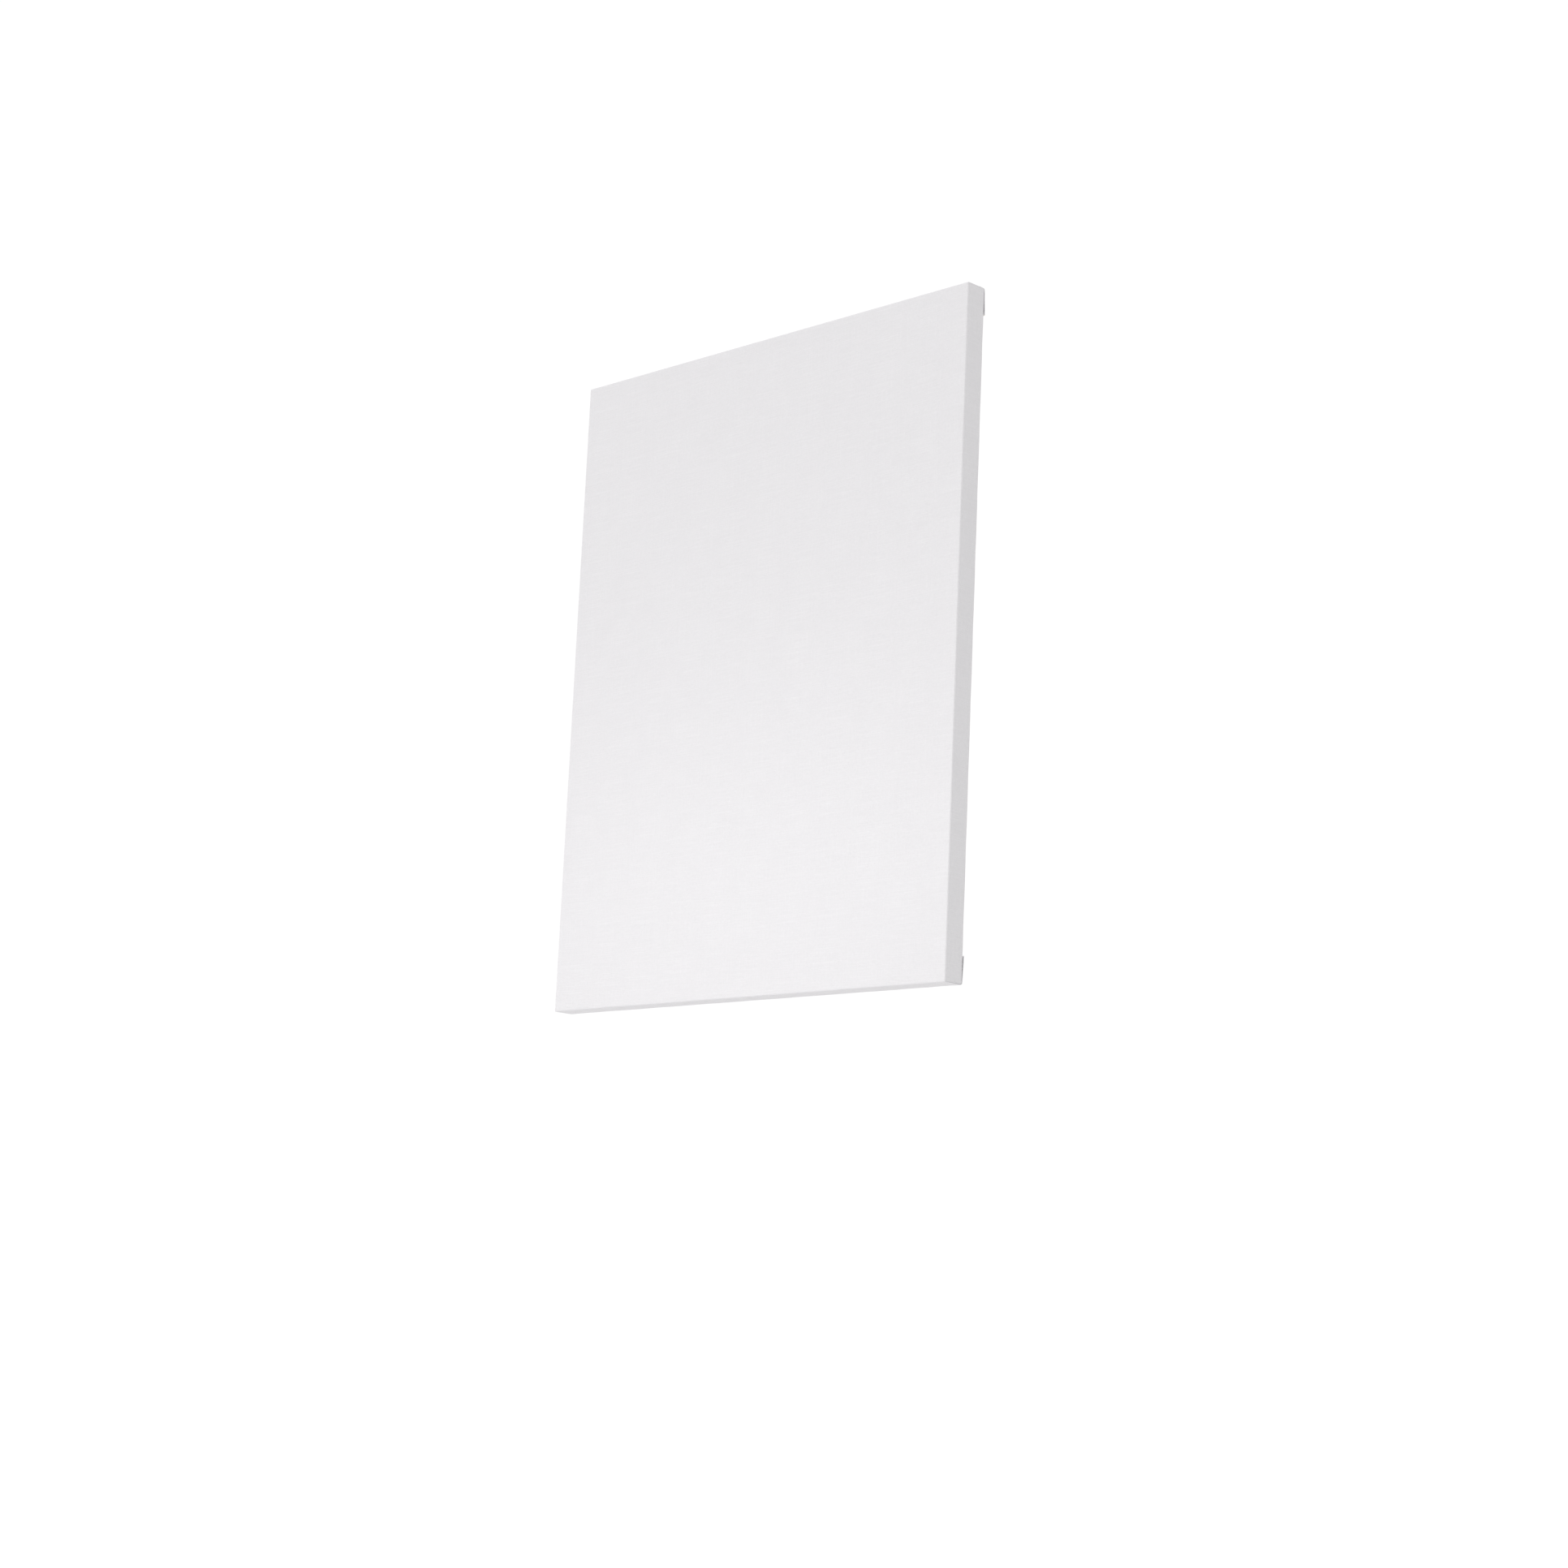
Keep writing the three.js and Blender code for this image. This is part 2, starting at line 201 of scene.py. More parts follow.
def covers(distance, end, step):
    """1 over a layer of cloth, 0 past its end, with a slope from one to the other about the end."""
    return 1 - ramp(distance, end + step[0], end + step[1])


def ripple(x, y, seed):
    """Smooth noise from about -1 to 1."""
    return noise.noise(Vector((x, y, seed)))


def add_object(name, data):
    """A new object in the scene."""
    made = bpy.data.objects.new(name, data)
    bpy.context.scene.collection.objects.link(made)
    return made


# ---------------------------------------------------------------- the cloth's shape

def grid_lines(half):
    """Sheet coordinates of the grid's lines, from the middle, for a front 2 * half wide."""
    near_edge = sorted([-line for line in LINES_SHORT] + list(LINES_PAST))
    open_half = half - LINES_SHORT[-1]
    steps = round(2 * open_half / GRID_STEP)
    middle = [-open_half + 2 * open_half * i / steps for i in range(1, steps)]
    return [-half - d for d in reversed(near_edge)] + middle + [half + d for d in near_edge]


def staple_spots(edge):
    """The edge's staples as (place along the edge, path over the cloth), in millimetres."""
    spots = []
    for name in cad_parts:
        if not name.startswith(f"{edge}_staple_"):
            continue
        low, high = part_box(name)
        at = ((low + high) / 2 - FRONT_MIDDLE) / MM
        if edge in ("top", "bottom"):
            spots.append((at.x, DEPTH + HALF_Z - abs(at.z)))
        else:
            spots.append((at.z, DEPTH + HALF_X - abs(at.x)))
    return spots


STAPLES = {edge: staple_spots(edge) for edge in EDGES}


def past_edges(u, v):
    """How far a point of the sheet is past the front's side and end edges: below zero on the front."""
    return round(abs(u) - HALF_X, 6), round(abs(v) - HALF_Z, 6)


def over_the_edge(path):
    """Inset from the edge and depth behind the front, for a sharp-edged frame."""
    if path <= DEPTH:
        return 0.0, path
    return path - DEPTH, DEPTH


def on_back(path):
    """0 on the side of the frame and 1 on its back."""
    return ramp(path, BACK_STARTS, BACK_REACHED)


def round_off(inset_x, depth, inset_z, proud):
    """Rounds the frame's edges, and stands a point proud of it. Insets turn into places from the corner."""
    sharp = Vector((-inset_x, depth, -inset_z))
    r = EDGE_ROUND
    core = Vector((min(sharp.x, -r), min(max(depth, r), DEPTH - r), min(sharp.z, -r)))
    return core + (sharp - core).normalized() * (r + proud)


def staples_at(along, path, spots):
    """How much the staples press a point down, pull at it, and raise it in the folds that fan out."""
    press, pull, fans = 0.0, 0.0, 0.0
    for at, row in spots:
        beside, above = abs(along - at), abs(path - row)
        pressed = fade(max(beside - CROWN_HALF, 0.0), PRESS_BESIDE)
        press += pressed * fade(max(above - WIRE_HALF, 0.0), PRESS_ABOVE)
        pull += fade(beside, PULL_REACH)
        reach = math.hypot(beside, above)
        fan = math.cos(FAN_FOLDS * math.atan2(beside, above + FAN_ORIGIN))
        fans += fan * fade(reach, FAN_REACH) * ramp(reach, FAN_FROM, FAN_FULL)
    return min(press, 1.0), min(pull, 1.0), fans


def tension(along, path, spots, seed):
    """How far the cloth stands off the frame between its staples, on the sides and the flap."""
    press, pull, fans = staples_at(along, path, spots)
    on_flap = ramp(path, *ON_FLAP)
    at_cut_edge = CUT_EDGE_LIFT + CUT_EDGE_VARIES * ripple(along / 45, 0.5, seed)
    waves = FLAP_WAVES * (1 + ripple(along / 23, path / 21, seed)) + FLAP_FANS * fans
    slack = at_cut_edge * ramp(path, *TO_CUT_EDGE) + waves * on_flap
    on_side = ramp(path, *SIDE_STARTS) * (1 - ramp(path, *SIDE_ENDS))
    side = SIDE_PULL * (0.5 - pull) + SIDE_WAVES * ripple(along / 9, path / 60, seed + 5) + SIDE_FANS * fans
    crease_at = CREASE_PATH + CREASE_WANDERS * ripple(along / 70, 2.5, seed)
    creased = ramp(ripple(along / 55, 6.5, seed), -0.25, 0.35)
    crease = CREASE_HEIGHT * creased * fade(path - crease_at, CREASE_WIDTH)
    return FLAP_LIFT * on_flap + slack * (1 - press) + side * on_side + crease


def front_relief(inset, x, z):
    """The front's slight dip inside the frame's bead."""
    dip = -FRONT_DIP + FRONT_DIP_VARIES * ripple(x / 210, z / 210, 3.1)
    return dip * ramp(inset, BEAD_ENDS, DIP_REACHED)


def corner_layers(from_side, path):
    """Offsets of the outer strip and of the layer tucked under it, where they meet at a corner."""
    over_side_flap = covers(from_side, FLAP, SIDE_FLAP_STEP)
    over_tuck = covers(from_side, path, TUCK_STEP)
    outer = on_back(path) * STACK_STEP * (over_side_flap + over_tuck)
    tucked_on_side = -2 * FOLD_RADIUS * ramp(path, 0, FOLD_OPENS_OVER)
    tucked_on_back = -CLOTH_THICK + STACK_STEP * over_side_flap
    return outer, blend(tucked_on_side, tucked_on_back, on_back(path))


def end_strip(a, b, pull):
    """The top or bottom strip, and what is folded back under its end."""
    inset_z, depth = over_the_edge(b)
    inset_x = abs(a)
    outer, tucked = corner_layers(inset_x, b)
    turn = math.radians(90) * min(max(a / FOLD_RADIUS, -1), 1)
    if inset_x < FOLD_RADIUS:
        folded = FOLD_RADIUS * (1 - math.cos(turn))
        inset_x = blend(inset_x, folded, ramp(b, 0, FOLD_OPENS_OVER))
    proud = (outer + tucked) / 2 - (outer - tucked) / 2 * math.sin(turn)
    proud += pull * (1 if a <= 0 else on_back(b))
    if a == b and a < TUCKED_DEPTH:
        proud = -(UNDER_LAYER / 2 + FOLD_RADIUS) * ramp(a, 0, FOLD_OPENS_OVER)
    return inset_x, depth, inset_z, proud


def side_strip(a, b, pull):
    """A side strip, whose ends go in under the folded corners."""
    inset_x, depth = over_the_edge(a)
    back = on_back(a)
    tuck_from, tuck_to = (blend(side, flap, back) for side, flap in zip(TUCKS_IN_ON_SIDE, TUCKS_IN_ON_BACK))
    free = 1 - back * ramp(b, *HELD_DOWN)
    under = blend(-UNDER_LAYER * ramp(a, 0, FOLD_OPENS_OVER), -UNDER_FLAP, back)
    return inset_x, depth, -b, blend(pull * free, under, ramp(b, tuck_from, tuck_to))


def place(u, v):
    """The wrapped place of a point of the flat sheet, in millimetres from the middle of the front."""
    side_x, side_z = math.copysign(1, u), math.copysign(1, v)
    a, b = past_edges(u, v)
    x, z = side_x * (HALF_X + min(a, 0)), side_z * (HALF_Z + min(b, 0))
    if a <= 0 and b <= 0:
        spot = (-a, 0.0, -b, front_relief(min(-a, -b), u, v))
    elif b >= a:
        spot = end_strip(a, b, tension(x, b, STAPLES["top" if v > 0 else "bottom"], 1.7 * side_z))
    elif b <= 0:
        spot = side_strip(a, b, tension(z, a, STAPLES["right" if u > 0 else "left"], 4.3 * side_x))
    else:
        # the layer tucked in lowest, joined to the side strip
        spot = (b, a, 0.0, -UNDER_LAYER * ramp(a, 0, FOLD_OPENS_OVER))
    at = round_off(*spot)
    return Vector((side_x * (HALF_X + at.x), at.y, side_z * (HALF_Z + at.z)))


def thickness_share(u, v):
    """The spare cloth thins to nothing at the corner's tip, so that it stays under the outer layer there."""
    a, b = past_edges(u, v)
    if a <= 0 or b <= 0:
        return 1.0
    return max(ramp(b, 0, FOLD_OPENS_OVER), THINNEST_SHARE)


def cut_strays(along, across, slow_row, snag_row, seed):
    """How far the cut edge strays from its line."""
    waves = ripple(along / 60, slow_row * math.copysign(1, across), seed)
    return CUT_WAVES * waves + CUT_SNAGS * ripple(along / 7, snag_row, across / 40)


def trim(u, v):
    """The cut edge isn't quite straight, outside the tips that are folded under at the corners."""
    a, b = past_edges(u, v)
    cut_u = cut_strays(v, u, 0.2, 3.0, 8.0) * ramp(a, *NEAR_CUT) * (1 - ramp(b, *SIDE_CUT_ENDS))
    cut_v = cut_strays(u, v, 0.7, 5.0, 9.0) * ramp(b, *NEAR_CUT) * (1 - ramp(a, *END_CUT_ENDS))
    return u + math.copysign(cut_u, u), v + math.copysign(cut_v, v)


def cell_faces(i, j, us, vs):
    """One cell's faces as lists of grid points: a quad, triangles on a diagonal, or none if cut away."""
    quad = [(i, j), (i + 1, j), (i + 1, j + 1), (i, j + 1)]
    past = {(p, q): past_edges(us[p], vs[q]) for p, q in quad}
    a, b = zip(*past.values())
    if min(a) < 0 or min(b) < 0 or min(b) > min(a):
        return [quad]
    if min(a) > min(b):
        return [quad] if max(a) <= TUCKED_DEPTH else []
    # on the diagonal, from the vertex nearest the corner to the one furthest from it
    near = quad.index(min(quad, key=lambda spot: sum(past[spot])))
    turned = quad[near:] + quad[:near]
    halves = [[turned[0], turned[1], turned[2]], [turned[0], turned[2], turned[3]]]
    if max(a) > TUCKED_DEPTH:
        halves = [half for half in halves if sum(past[spot][1] - past[spot][0] for spot in half) > 0]
    return halves


def make_sheet():
    """The wrapped mesh, with the flat sheet as its UV map, and each vertex's share of the thickness."""
    us, vs = grid_lines(HALF_X), grid_lines(HALF_Z)
    cells = [(i, j) for i in range(len(us) - 1) for j in range(len(vs) - 1)]
    index, points, flat, shares, faces = {}, [], [], [], []
    for face in (face for i, j in cells for face in cell_faces(i, j, us, vs)):
        for spot in face:
            if spot not in index:
                index[spot] = len(points)
                u, v = trim(us[spot[0]], vs[spot[1]])
                points.append(FRONT_MIDDLE + place(u, v) * MM)
                flat.append((u * MM + FLAT_WIDTH / 2, v * MM + FLAT_LENGTH / 2))
                shares.append(thickness_share(u, v))
        faces.append([index[spot] for spot in face])
    mesh = bpy.data.meshes.new("canvas_sheet")
    mesh.from_pydata(points, [], faces)
    mesh.polygons.foreach_set("use_smooth", [True] * len(faces))
    threads = mesh.uv_layers.new(name="threads")
    for loop in mesh.loops:
        threads.data[loop.index].uv = flat[loop.vertex_index]
    return mesh, shares


def make_cloth(primed, raw):
    """One continuous sheet in place of the CAD cloth: primed outside, raw inside and at its cut edges."""
    mesh, shares = make_sheet()
    mesh.materials.append(primed)
    mesh.materials.append(raw)
    cloth = add_object("canvas_sheet", mesh)
    group = cloth.vertex_groups.new(name="thickness")
    for vertex, share in enumerate(shares):
        group.add([vertex], share, "REPLACE")
    skin = cloth.modifiers.new("thickness", "SOLIDIFY")
    skin.vertex_group = group.name
    skin.thickness = CLOTH_THICK * MM
    skin.offset = -1
    skin.material_offset = 1
    skin.material_offset_rim = 1
    return cloth


def beyond(edge, along, out):
    """The sheet's coordinates at a place along an edge and a distance past it."""
    return {
        "top": (along, HALF_Z + out),
        "bottom": (along, -HALF_Z - out),
        "right": (HALF_X + out, along),
        "left": (-HALF_X - out, along),
    }[edge]


def add_thread(curve, edge, along, draw):
    """One loose end: it starts between the flap and the wood, and bends, curls and droops past the cut."""
    length = draw.uniform(1.2, 4.0) if draw.random() < 0.8 else draw.uniform(4.0, 8.0)
    bend = draw.uniform(-0.6, 0.6)
    curl = draw.uniform(-0.5, 0.5)
    droop = draw.uniform(0.3, 0.8)
    spline = curve.splines.new("POLY")
    spline.points.add(THREAD_SEGMENTS)
    for k, point in enumerate(spline.points):
        t = k / THREAD_SEGMENTS
        out = DEPTH + FLAP - THREAD_HELD + (length + THREAD_HELD) * t
        at = place(*beyond(edge, along + length * (bend * t + curl * t * t), out))
        at.y -= CLOTH_THICK / 2 + droop * t * t
        point.co = (*(FRONT_MIDDLE + at * MM), 1.0)


def make_frayed_threads(material):
    """Loose ends of thread along the flap's cut edge, lying over the wood."""
    draw = random.Random(11)
    curve = bpy.data.curves.new("frayed_threads", "CURVE")
    curve.dimensions = "3D"
    curve.bevel_depth = THREAD_RADIUS * MM
    curve.bevel_resolution = 1
    curve.use_fill_caps = True
    for edge in EDGES:
        reach = (HALF_X if edge in ("top", "bottom") else HALF_Z) - FLAP - THREADS_FROM_FOLD
        for _ in range(THREAD_ENDS):
            add_thread(curve, edge, draw.uniform(-reach, reach), draw)
    curve.materials.append(material)
    return add_object("frayed_threads", curve)


# ---------------------------------------------------------------- building materials

class Paint:
    """A material, its shader and short calls for adding nodes to it."""

    def __init__(self, name):
        self.material = bpy.data.materials.new(name)
        self.material.use_nodes = True
        self.tree = self.material.node_tree
        self.shader = self.tree.nodes["Principled BSDF"]

    def node(self, kind, **settings):
        made = self.tree.nodes.new(kind)
        for key, value in settings.items():
            setattr(made, key, value)
        return made

    def feed(self, socket, value):
        if isinstance(value, bpy.types.NodeSocket):
            self.tree.links.new(value, socket)
        else:
            socket.default_value = value

    def set(self, name, value):
        """Sets one of the shader's sockets to a constant."""
        self.shader.inputs[name].default_value = value

    def own_place(self):
        """The surface point in its object's coordinates, in metres."""
        return self.node("ShaderNodeTexCoord").outputs["Object"]

    def calc(self, operation, *values):
        made = self.node("ShaderNodeMath", operation=operation)
        for socket, value in zip(made.inputs, values):
            self.feed(socket, value)
        return made.outputs[0]

    def plus(self, a, b):
        return self.calc("ADD", a, b)

    def times(self, a, b):
        return self.calc("MULTIPLY", a, b)

    def line(self, value, slope, start):
        """start + slope * value"""
        return self.calc("MULTIPLY_ADD", value, slope, start)

    def distance(self, a, b):
        return self.calc("SQRT", self.plus(self.times(a, a), self.times(b, b)))

    def step(self, value, low, high):
        """A smooth step from 0 at low to 1 at high. With low over high it falls instead."""
        made = self.node("ShaderNodeMapRange", interpolation_type="SMOOTHSTEP")
        self.feed(made.inputs["Value"], value)
        if low < high:
            bounds = (low, high, 0.0, 1.0)
        else:
            bounds = (high, low, 1.0, 0.0)
        for name, bound in zip(("From Min", "From Max", "To Min", "To Max"), bounds):
            made.inputs[name].default_value = bound
        return made.outputs["Result"]

    def split(self, where):
        """A vector's X, Y and Z."""
        made = self.node("ShaderNodeSeparateXYZ")
        self.feed(made.inputs[0], where)
        return made.outputs

    def vector(self, *axes):
        """A vector whose axes are each a number, a socket, or a socket and its scale."""
        made = self.node("ShaderNodeCombineXYZ")
        for socket, axis in zip(made.inputs, axes):
            self.feed(socket, self.times(*axis) if isinstance(axis, tuple) else axis)
        return made.outputs[0]

    def scaled(self, where, factor):
        made = self.node("ShaderNodeVectorMath", operation="SCALE")
        self.feed(made.inputs[0], where)
        self.feed(made.inputs["Scale"], factor)
        return made.outputs[0]

    def noise(self, where, detail=2.0, roughness=0.5):
        """Noise from 0 to 1, with features about one unit of the vector across."""
        made = self.node("ShaderNodeTexNoise")
        self.feed(made.inputs["Vector"], where)
        made.inputs["Scale"].default_value = 1.0
        made.inputs["Detail"].default_value = detail
        made.inputs["Roughness"].default_value = roughness
        return made.outputs["Fac"]

    def mix(self, factor, a, b):
        """From colour a to colour b as the factor runs from 0 to 1."""
        made = self.node("ShaderNodeMix", data_type="RGBA")
        self.feed(made.inputs["Factor"], factor)
        sockets = [s for s in made.inputs if s.type == "RGBA"]
        for socket, value in zip(sockets, (a, b)):
            self.feed(socket, value if isinstance(value, bpy.types.NodeSocket) else (*value, 1.0))
        return next(s for s in made.outputs if s.type == "RGBA")

    def shade(self, colour, value, low, high):
        """Multiplies a colour by a factor that runs from low to high as value runs from 0 to 1."""
        return self.scaled(colour, self.line(value, high - low, low))

    def finish(self, colour, roughness, height, depth):
        """Feeds the shader. depth is the relief that a height of 1 stands for, in metres."""
        self.feed(self.shader.inputs["Base Color"], colour)
        self.feed(self.shader.inputs["Roughness"], roughness)
        bump = self.node("ShaderNodeBump")
        bump.inputs["Strength"].default_value = 1.0
        bump.inputs["Distance"].default_value = depth
        self.feed(bump.inputs["Height"], height)
        self.feed(self.shader.inputs["Normal"], bump.outputs["Normal"])
        return self.material


def plain_weave(paint):
    """A plain weave: its height, how thick its threads run across and along, and the place in threads."""
    flat = paint.split(paint.node("ShaderNodeUVMap", uv_map="threads").outputs["UV"])
    u, v = paint.times(flat["X"], THREADS), paint.times(flat["Y"], THREADS)
    wander = paint.noise(paint.vector((u, 0.05), (v, 0.05), 0.0))
    u, v = paint.line(wander, 1.6, u), paint.line(wander, -1.6, v)
    wave_u = paint.calc("COSINE", paint.times(u, math.pi))
    wave_v = paint.calc("COSINE", paint.times(v, math.pi))
    crossing_up = paint.times(wave_v, paint.calc("SIGN", wave_u))
    crossing_over = paint.times(wave_u, paint.calc("SIGN", wave_v))
    warp = paint.times(paint.calc("ABSOLUTE", wave_u), paint.line(crossing_up, 0.5, 0.5))
    weft = paint.times(paint.calc("ABSOLUTE", wave_v), paint.line(crossing_over, -0.5, 0.5))
    height = paint.calc("MAXIMUM", warp, weft)
    across = paint.noise(paint.vector((u, 0.012), (v, 0.9), 4.0))
    along = paint.noise(paint.vector((u, 0.9), (v, 0.012), 9.0))
    return height, across, along, paint.vector(u, v, 0.0)


def primed_canvas():
    """Cotton duck under coats of matte white primer, which soften the weave and leave clotted patches, with
    painted shade in the weave's hollows.
    """
    paint = Paint("primed_canvas")
    height, across, along, where = plain_weave(paint)
    slubs = paint.plus(paint.step(across, 0.42, 0.78), paint.times(paint.step(along, 0.45, 0.8), 0.6))
    patches = paint.noise(paint.scaled(where, 0.018), detail=4.0, roughness=0.55)
    clots = paint.noise(paint.scaled(where, 0.22), detail=2.0, roughness=0.6)
    white = paint.mix(patches, *PRIMER)
    # painted shade: the white is darkened where the weave dips, in the hollows between crossing threads
    white = paint.shade(white, height, 0.955, 1.0)
    white = paint.shade(white, slubs, 0.975, 1.012)
    white = paint.shade(white, paint.step(clots, 0.25, 0.75), 0.985, 1.012)
    relief = paint.plus(paint.times(height, 0.5), paint.times(slubs, 0.35))
    relief = paint.plus(relief, paint.times(clots, 0.55))
    paint.set("Specular IOR Level", 0.35)
    return paint.finish(white, paint.line(patches, 0.12, 0.72), relief, 0.24 * MM)


def raw_cotton():
    """The cloth's unprimed back and its cut edges: cream cotton with specks of seed, and painted shade in
    the weave's hollows.
    """
    paint = Paint("raw_cotton")
    height, across, along, where = plain_weave(paint)
    cream = paint.mix(across, *RAW_COTTON)
    cream = paint.shade(cream, along, 0.93, 1.04)
    # painted shade: the cream is darkened where the weave dips, in the hollows between crossing threads
    cream = paint.shade(cream, height, 0.76, 1.03)
    specks = paint.step(paint.noise(where, detail=1.0), 0.80, 0.86)
    cream = paint.mix(specks, cream, SEED_SPECK)
    paint.set("Specular IOR Level", 0.2)
    return paint.finish(cream, paint.line(height, 0.08, 0.86), height, 0.3 * MM)


def loose_cotton():
    """The frayed ends: single cotton threads, paler where they are fluffed."""
    paint = Paint("loose_cotton")
    fluff = paint.noise(paint.scaled(paint.own_place(), 1400.0), detail=2.0)
    cream = paint.mix(fluff, *LOOSE_COTTON)
    return paint.finish(cream, paint.line(fluff, 0.1, 0.85), fluff, 0.05 * MM)


def grain_coordinates(paint, length_axis, wobble):
    """Places in a piece of wood, in metres: along, across, across with the grain's waver, and through."""
    at = paint.split(paint.own_place())
    along, across = at["X"], at["Z"]
    if length_axis == "Z":
        along, across = across, along
    drift = paint.noise(paint.vector((along, 3.2), (across, 9.0), wobble))
    return along, across, paint.line(drift, 0.011, across), at["Y"]


def knot_field(paint, along, across, knots):
    """Masks of the knots' hearts, their dark rims, and the grain that swerves round them."""
    hearts, rims, swerve = 0.0, 0.0, 0.0
    ragged = paint.noise(paint.vector((along, 420.0), (across, 420.0), 1.0))
    for at_along, at_across, radius in knots:
        from_along = paint.times(paint.calc("SUBTRACT", along, at_along), 0.72)
        from_across = paint.calc("SUBTRACT", across, at_across)
        out = paint.calc("DIVIDE", paint.distance(from_along, from_across), radius)
        out = paint.line(ragged, 0.5, out)
        rim = paint.times(paint.step(out, 0.95, 1.2), paint.step(out, 1.55, 1.2))
        hearts = paint.calc("MAXIMUM", hearts, paint.step(out, 1.35, 1.1))
        rims = paint.calc("MAXIMUM", rims, rim)
        swerve = paint.calc("MAXIMUM", swerve, paint.step(out, 4.2, 0.6))
    return hearts, rims, swerve


def growth_rings(paint, seed, centre, grain, swerve):
    """Rings round a pith outside the board: the place within a ring, and how much it is dark late wood."""
    along, _, bent, through = grain
    draw = random.Random(seed)
    pith_across = centre + draw.choice((-1, 1)) * draw.uniform(0.012, 0.050)
    pith_through = draw.choice((-1, 1)) * draw.uniform(0.020, 0.050)
    lean = draw.uniform(0.012, 0.035) * draw.choice((-1, 1))
    offset = paint.calc("SUBTRACT", bent, paint.line(along, lean, pith_across))
    depth = paint.calc("SUBTRACT", through, pith_through)
    radius = paint.line(swerve, 0.006, paint.distance(offset, depth))
    uneven = paint.noise(paint.vector((radius, 110.0), (along, 1.5), seed))
    rings = paint.plus(paint.times(radius, draw.uniform(300, 420)), paint.times(uneven, 3.0))
    ring = paint.calc("FRACT", rings)
    late = paint.times(paint.step(ring, 0.35, 0.92), paint.step(ring, 1.0, 0.95))
    year = paint.noise(paint.vector((rings, 0.8), (along, 4.0), seed + 7.0))
    return ring, paint.times(late, paint.line(paint.step(year, 0.3, 0.7), 0.75, 0.25))


def pine(name, length_axis, seed, centre, knots):
    """Planed pine: growth rings cut lengthways, fine fibres, knots, and end grain from the same rings."""
    paint = Paint(name)
    grain = grain_coordinates(paint, length_axis, seed * 3.7)
    along, across, _, through = grain
    hearts, rims, swerve = knot_field(paint, along, across, knots)
    ring, late = growth_rings(paint, seed, centre, grain, swerve)
    fibres = paint.noise(paint.vector((along, 28.0), (across, 1500.0), (through, 1500.0)), detail=3.0)
    patches = paint.noise(paint.vector((along, 5.0), (across, 40.0), seed + 0.5))
    colour = paint.mix(paint.times(late, 0.75), PINE_EARLY, PINE_LATE)
    colour = paint.mix(paint.times(patches, 0.5), colour, PINE_PATCH)
    colour = paint.shade(colour, paint.step(fibres, 0.25, 0.75), 0.86, 1.07)
    colour = paint.mix(paint.times(swerve, 0.30), colour, PINE_BY_KNOT)
    heart = paint.shade(paint.mix(ring, *KNOT_HEART), fibres, 0.75, 1.15)
    colour = paint.mix(hearts, colour, heart)
    colour = paint.mix(paint.times(rims, 0.8), colour, KNOT_RIM)
    height = paint.plus(paint.times(late, 0.15), paint.times(fibres, 0.8))
    paint.set("Specular IOR Level", 0.4)
    return paint.finish(colour, paint.line(fibres, 0.22, 0.46), height, 0.12 * MM)


def beech(name, length_axis):
    """Sawn beech for the keys: close, even and pinkish tan, with short brown flecks along the grain."""
    paint = Paint(name)
    along, across, bent, through = grain_coordinates(paint, length_axis, 2.0)
    flecks = paint.noise(paint.vector((along, 420.0), (across, 2600.0), (through, 2600.0)), detail=1.0)
    streaks = paint.noise(paint.vector((along, 22.0), (bent, 620.0), (through, 620.0)), detail=3.0)
    tone = paint.noise(paint.vector((along, 9.0), (across, 9.0), 6.0))
    colour = paint.mix(tone, *BEECH)
    colour = paint.shade(colour, streaks, 0.80, 1.12)
    colour = paint.mix(paint.times(paint.step(flecks, 0.60, 0.70), 0.55), colour, BEECH_FLECK)
    height = paint.plus(paint.times(streaks, 0.6), paint.times(flecks, 0.4))
    paint.set("Specular IOR Level", 0.35)
    return paint.finish(colour, paint.line(streaks, 0.2, 0.5), height, 0.15 * MM)


def galvanised_steel():
    """Flat galvanised staple wire: dull zinc with drawing marks and darker patches."""
    paint = Paint("galvanised_steel")
    where = paint.own_place()
    marks = paint.noise(paint.scaled(where, 900.0), detail=3.0)
    zinc = paint.mix(paint.noise(paint.scaled(where, 160.0)), *ZINC)
    zinc = paint.shade(zinc, marks, 0.85, 1.1)
    paint.set("Metallic", 1.0)
    return paint.finish(zinc, paint.line(marks, 0.25, 0.28), marks, 0.03 * MM)


# ---------------------------------------------------------------- dressing the frame

def assign(node, material):
    """Puts the material on a CAD node."""
    for mesh_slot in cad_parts[node].material_slots:
        mesh_slot.material = material


def long_axis(node):
    """X or Z, whichever way the node is longer."""
    lo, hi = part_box(node)
    return "X" if hi.x - lo.x > hi.z - lo.z else "Z"


def dress_wood():
    """A board of its own for each bar and brace, and beech for the keys."""
    for seed, (node, knots) in enumerate(KNOTS.items(), start=1):
        lo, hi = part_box(node)
        axis = long_axis(node)
        centre = (lo.z + hi.z) / 2 if axis == "X" else (lo.x + hi.x) / 2
        assign(node, pine(f"pine_{seed}", axis, seed, centre, knots))
    keys = {axis: beech(f"beech_{axis.lower()}", axis) for axis in ("X", "Z")}
    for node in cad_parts:
        if "_key_" in node:
            assign(node, keys[long_axis(node)])


def dress_staples():
    """The same wire for all the staples."""
    steel = galvanised_steel()
    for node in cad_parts:
        if "_staple_" in node:
            assign(node, steel)


def dress_cloth():
    """The sheet and its loose threads, on the cloth's body in place of the CAD cloth."""
    cloth = make_cloth(primed_canvas(), raw_cotton())
    threads = make_frayed_threads(loose_cotton())
    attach(cloth, "cloth_and_braces")
    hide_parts("canvas_cloth")
    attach(threads, "cloth_and_braces")


# ---------------------------------------------------------------- stage, light and camera

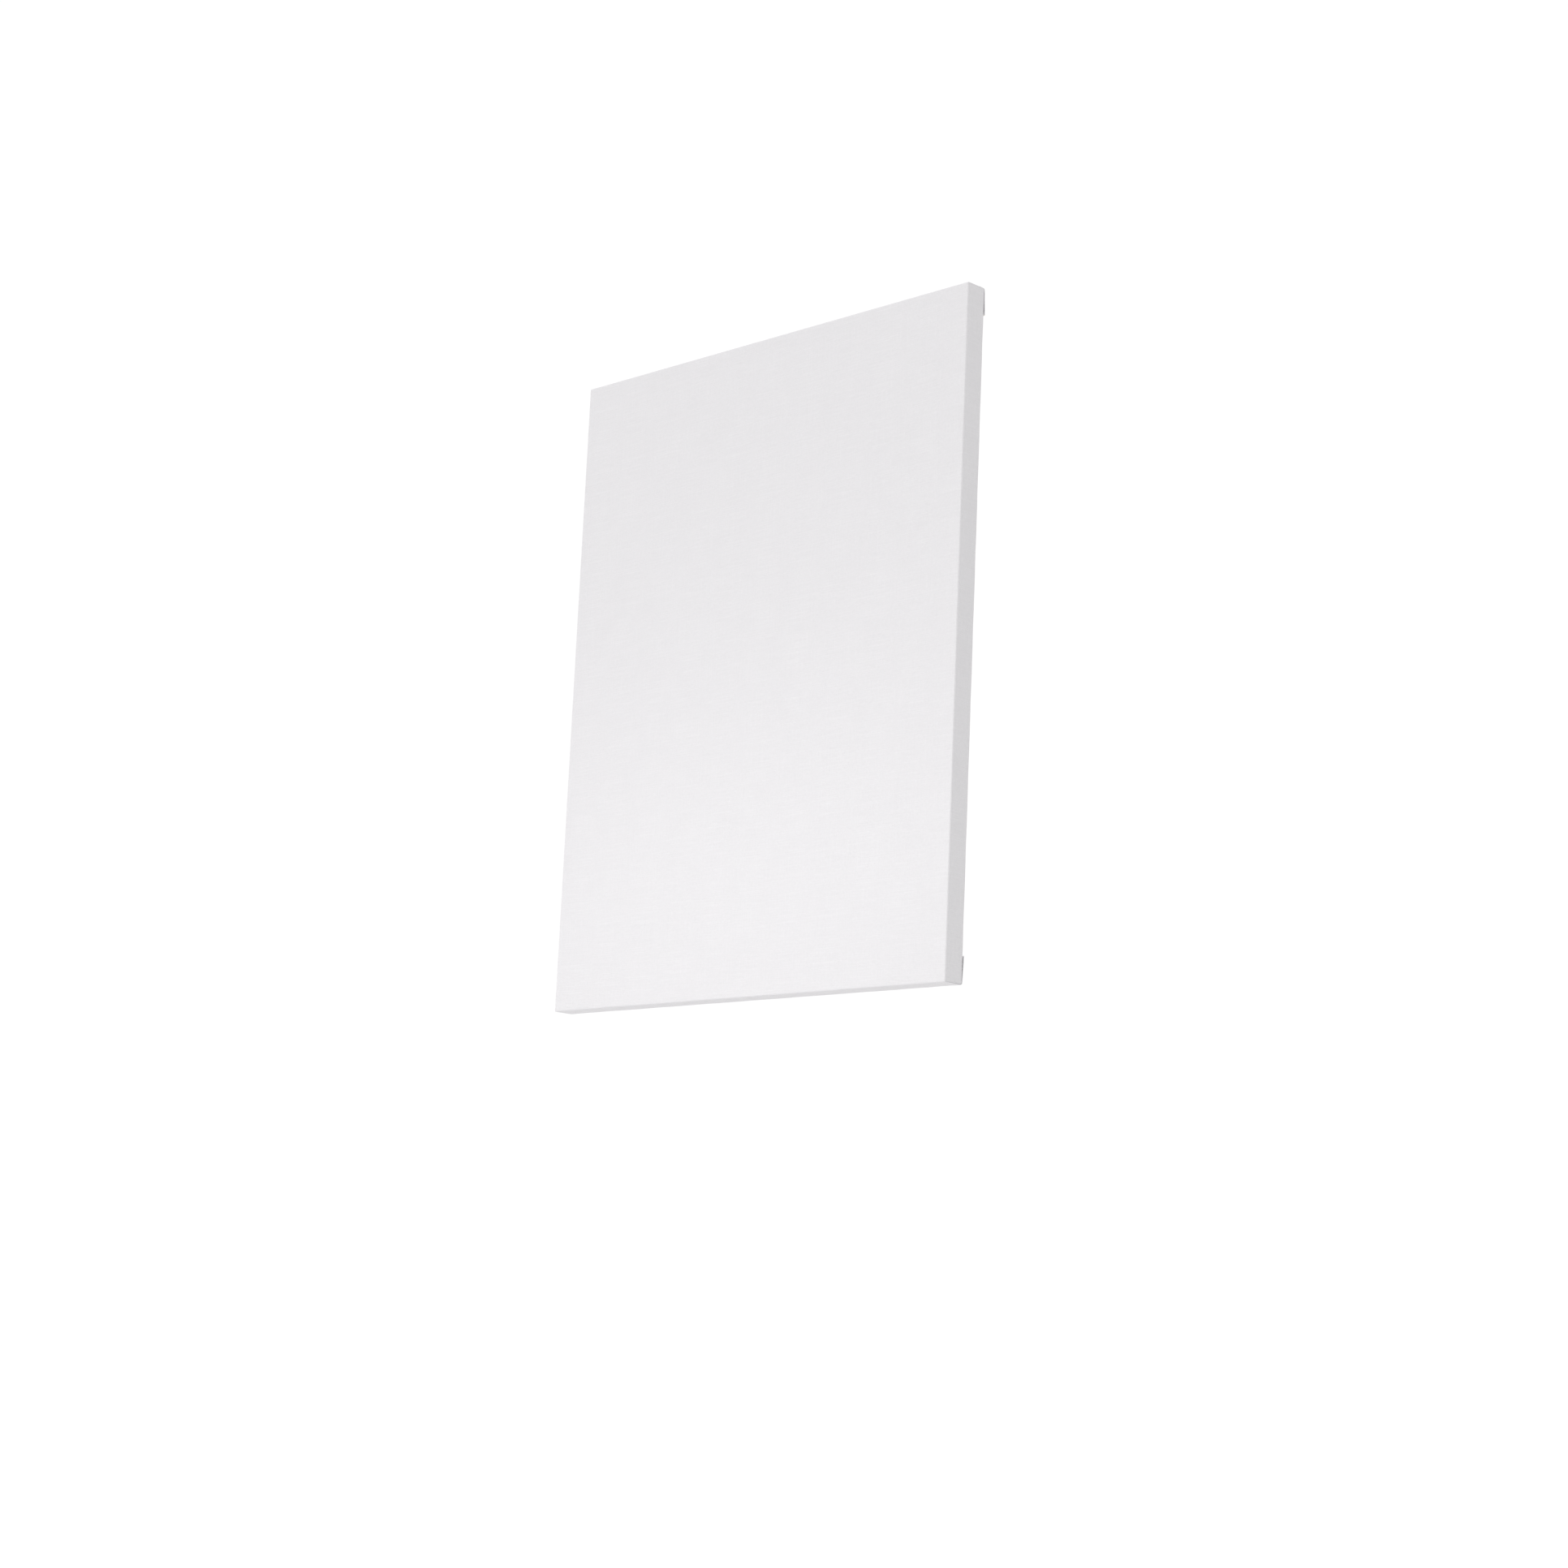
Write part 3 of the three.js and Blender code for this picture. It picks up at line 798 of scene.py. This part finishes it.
def make_floor():
    """A pale floor, lifted to white where the camera sees it, so that it meets the surround with no line."""
    paint = Paint("pale_floor")
    mottling = paint.noise(paint.own_place(), detail=3.0)
    material = paint.finish(paint.mix(mottling, *FLOOR), 0.95, mottling, 0.5 * MM)
    paint.set("Specular IOR Level", 0.0)
    paint.set("Emission Color", WHITE)
    seen = paint.node("ShaderNodeLightPath").outputs["Is Camera Ray"]
    paint.feed(paint.shader.inputs["Emission Strength"], paint.times(seen, FLOOR_LIFT))
    half = FLOOR_SIZE / 2
    corners = [(-half, -half), (half, -half), (half, half), (-half, half)]
    mesh = bpy.data.meshes.new("floor")
    mesh.from_pydata([(x, y, FLOOR_LEVEL) for x, y in corners], [], [(0, 1, 2, 3)])
    mesh.materials.append(material)
    add_object("floor", mesh)


def make_surround():
    """A white room to look at, which lights the canvas most from the front left and least from +X."""
    world = bpy.data.worlds.new("studio")
    bpy.context.scene.world = world
    world.use_nodes = True
    tree = world.node_tree
    background = tree.nodes["Background"]
    towards = tree.nodes.new("ShaderNodeVectorMath")
    towards.operation = "DOT_PRODUCT"
    towards.inputs[1].default_value = ROOM_SLOPE
    level = tree.nodes.new("ShaderNodeMath")
    level.operation = "ADD"
    level.inputs[1].default_value = ROOM_LEVEL
    seen = tree.nodes.new("ShaderNodeMix")
    seen.inputs["B"].default_value = BACKDROP_LEVEL
    links = (
        (tree.nodes.new("ShaderNodeTexCoord").outputs["Generated"], towards.inputs[0]),
        (towards.outputs["Value"], level.inputs[0]),
        (tree.nodes.new("ShaderNodeLightPath").outputs["Is Camera Ray"], seen.inputs["Factor"]),
        (level.outputs[0], seen.inputs["A"]),
        (seen.outputs["Result"], background.inputs["Strength"]),
    )
    for output, socket in links:
        tree.links.new(output, socket)
    background.inputs["Color"].default_value = WHITE


def turned_to(at, looks_at):
    """The rotation of a lamp or camera that stands at one point and faces another."""
    return (Vector(looks_at) - Vector(at)).to_track_quat("-Z", "Y")


def hang_lamp(lamp, at, looks_at):
    placed = add_object(lamp.name, lamp)
    placed.location = at
    placed.rotation_euler = turned_to(at, looks_at).to_euler()
    placed.visible_camera = False


def make_light():
    """A soft white studio: the room, a weak sun straight above, and the area lamps."""
    make_surround()
    sun = bpy.data.lights.new("overhead", "SUN")
    sun.energy = SUN_STRENGTH
    sun.angle = SUN_ANGLE
    hang_lamp(sun, (0, 0, 3), (0, 0, 0))
    for name, watts, at, looks_at, size in AREA_LAMPS:
        lamp = bpy.data.lights.new(name, "AREA")
        lamp.energy = watts
        lamp.shape = "RECTANGLE"
        lamp.size, lamp.size_y = size
        hang_lamp(lamp, at, looks_at)


def make_camera():
    """The photograph's own view."""
    data = bpy.data.cameras.new("camera")
    data.lens = LENS
    data.sensor_width = SENSOR
    camera = add_object("camera", data)
    look = turned_to(CAMERA_AT, CAMERA_LOOKS_AT).to_matrix().to_4x4()
    camera.matrix_world = Matrix.Translation(CAMERA_AT) @ look @ Matrix.Rotation(CAMERA_ROLL, 4, "Z")
    bpy.context.scene.camera = camera


make_camera()
make_light()
make_floor()
dress_wood()
dress_staples()
dress_cloth()
bpy.context.scene.view_settings.view_transform = "Standard"
